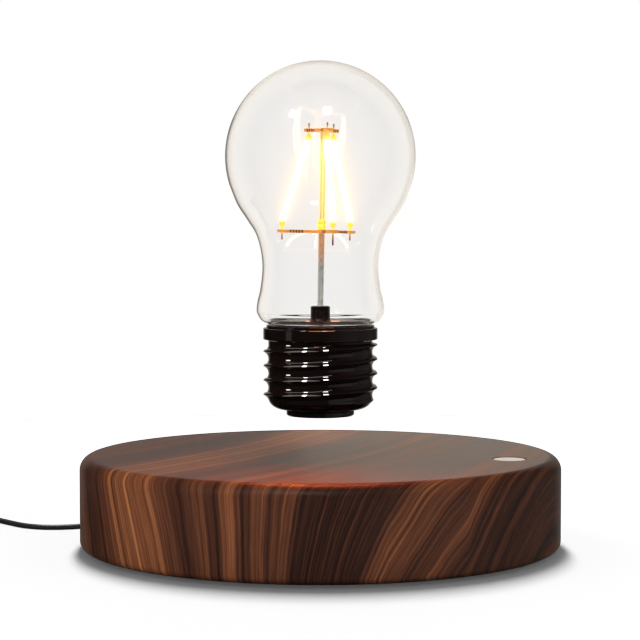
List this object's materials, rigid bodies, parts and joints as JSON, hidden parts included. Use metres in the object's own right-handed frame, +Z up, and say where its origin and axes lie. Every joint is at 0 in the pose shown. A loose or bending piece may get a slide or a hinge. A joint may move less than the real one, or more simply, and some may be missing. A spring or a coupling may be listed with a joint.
{
  "type": "levitating lamp",
  "caption": "Clear filament bulb with a black screw-thread body that floats over a round dark wooden base holding magnets; low-voltage lead with wall adapter.",
  "frame": {"origin": "on the surface that the base stands on, under the centre of the round base", "axes": "+Z up along the base's axis, +X to the right of someone facing the lamp (the touch disc's side), +Y to the back, where the lead leaves"},
  "size_m": [0.2663, 0.1508, 0.1518],
  "materials": {
    "dark_wood": "dark walnut, satin lacquer",
    "black_plastic": "fine matt",
    "gloss_black": "gloss",
    "foot_rubber": "matt",
    "zinc_steel": "zinc plated",
    "satin_steel": "satin",
    "ferrite": "sintered, ground faces",
    "copper_wire": "enamelled copper wire",
    "circuit_board": "green solder mask",
    "nickel_plate": "nickel plated",
    "clear_glass": "clear blown glass",
    "filament_yellow": "lit yellow coating",
    "warm_brass": "plated, warm",
    "cord_black": "smooth jacket"
  },
  "bodies": {
    "base": {"adapter_blade_1": "nickel_plate", "adapter_blade_2": "nickel_plate", "adapter_case": "black_plastic", "adapter_cover": "black_plastic", "bottom_cover": "black_plastic", "coil_tie": "black_plastic", "control_board": "circuit_board", "cord_coil": "cord_black", "cord_run": "cord_black", "cord_tail": "cord_black", "core_1": "zinc_steel", "core_2": "zinc_steel", "core_3": "zinc_steel", "core_4": "zinc_steel", "cover_screw_1": "zinc_steel", "cover_screw_2": "zinc_steel", "cover_screw_3": "zinc_steel", "dc_jack": "black_plastic", "dc_plug": "black_plastic", "foot_1": "foot_rubber", "foot_2": "foot_rubber", "foot_3": "foot_rubber", "foot_4": "foot_rubber", "hall_sensor_board": "circuit_board", "module_tray": "black_plastic", "ring_magnet": "ferrite", "touch_disc": "satin_steel", "touch_lead": "cord_black", "transmit_coil": "copper_wire", "tray_screw_1": "zinc_steel", "tray_screw_2": "zinc_steel", "tray_screw_3": "zinc_steel", "winding_1": "copper_wire", "winding_2": "copper_wire", "winding_3": "copper_wire", "winding_4": "copper_wire", "wood_body": "dark_wood"},
    "float": {"float_magnet": "nickel_plate"},
    "bulb": {"bottom_cap": "gloss_black", "screw_shell": "gloss_black", "collar": "gloss_black", "seat_disc": "gloss_black", "stem_boss": "black_plastic", "glass_bulb": "clear_glass", "centre_rod": "nickel_plate", "rod_sleeve": "warm_brass", "lower_plate": "warm_brass", "upper_plate": "warm_brass", "filament_1": "filament_yellow", "filament_2": "filament_yellow", "filament_3": "filament_yellow", "filament_tab_lower_1": "warm_brass", "filament_tab_lower_2": "warm_brass", "filament_tab_lower_3": "warm_brass", "filament_tab_upper_1": "warm_brass", "filament_tab_upper_2": "warm_brass", "filament_tab_upper_3": "warm_brass", "receiver_coil": "copper_wire", "receiver_board": "circuit_board"}
  },
  "joints": [
    {"name": "bulb_lift", "type": "slide", "parent": "base", "child": "float", "axis": [0, 0, 1], "range_m": [-0.0119, 0.04], "stiffness_N_per_m": 200, "springref_m": 0.00355},
    {"name": "bulb_spin", "type": "hinge", "parent": "float", "child": "bulb", "pos_m": [0, 0, 0.0412], "axis": [0, 0, 1], "continuous": true}
  ]
}
